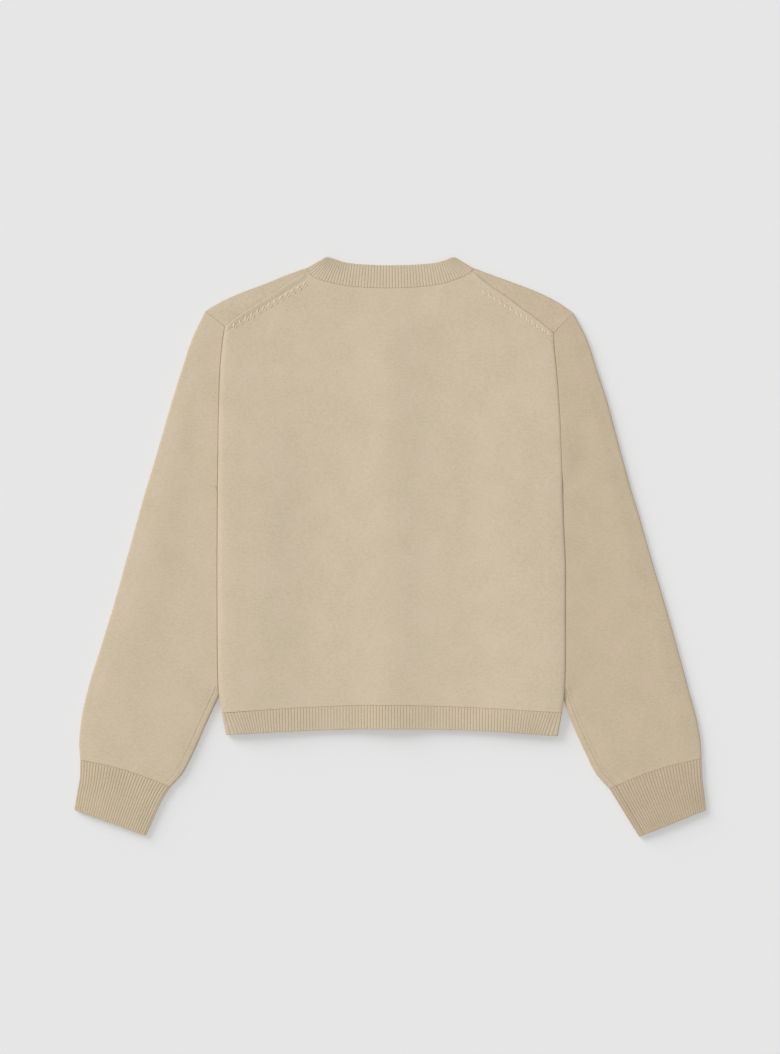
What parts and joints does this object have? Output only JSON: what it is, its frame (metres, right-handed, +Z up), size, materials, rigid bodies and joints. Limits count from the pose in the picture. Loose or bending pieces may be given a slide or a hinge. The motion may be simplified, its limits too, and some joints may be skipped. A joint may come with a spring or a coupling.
{
  "type": "cardigan",
  "caption": "Long-sleeved round-neck knitted cardigan lying face down, buttoned, with ribbed neckband, cuffs and hem and shoulder seams set on the back.",
  "frame": {"origin": "bottom centre of the bounding box, on the surface it lies on", "axes": "+X to the right of the back as it lies, +Y from the hem to the neck, +Z up from the surface"},
  "size_m": [0.7708, 0.7068, 0.0118],
  "materials": {
    "back_jersey": "fine mottled plain knit",
    "front_jersey_left": "fine mottled plain knit",
    "front_jersey_right": "fine mottled plain knit",
    "sleeve_jersey_left": "fine mottled plain knit",
    "sleeve_jersey_right": "fine mottled plain knit",
    "cuff_rib_left": "rib knit",
    "cuff_rib_right": "rib knit",
    "back_hem_rib": "rib knit",
    "front_hem_rib_left": "rib knit",
    "front_hem_rib_right": "rib knit",
    "neckband_rib": "rib knit",
    "button_band_rib": "rib knit",
    "buttonhole_band_rib": "rib knit",
    "button_polyester": "satin"
  },
  "bodies": {
    "root": {"back_panel": "back_jersey", "front_left": "front_jersey_left", "front_right": "front_jersey_right", "sleeve_left": "sleeve_jersey_left", "sleeve_right": "sleeve_jersey_right", "cuff_left": "cuff_rib_left", "cuff_right": "cuff_rib_right", "hem_rib_back": "back_hem_rib", "hem_rib_front_left": "front_hem_rib_left", "hem_rib_front_right": "front_hem_rib_right", "neckband": "neckband_rib", "button_band": "button_band_rib", "buttonhole_band": "buttonhole_band_rib", "button_1": "button_polyester", "button_2": "button_polyester", "button_3": "button_polyester", "button_4": "button_polyester", "button_5": "button_polyester", "button_6": "button_polyester", "button_7": "button_polyester"}
  },
  "joints": []
}
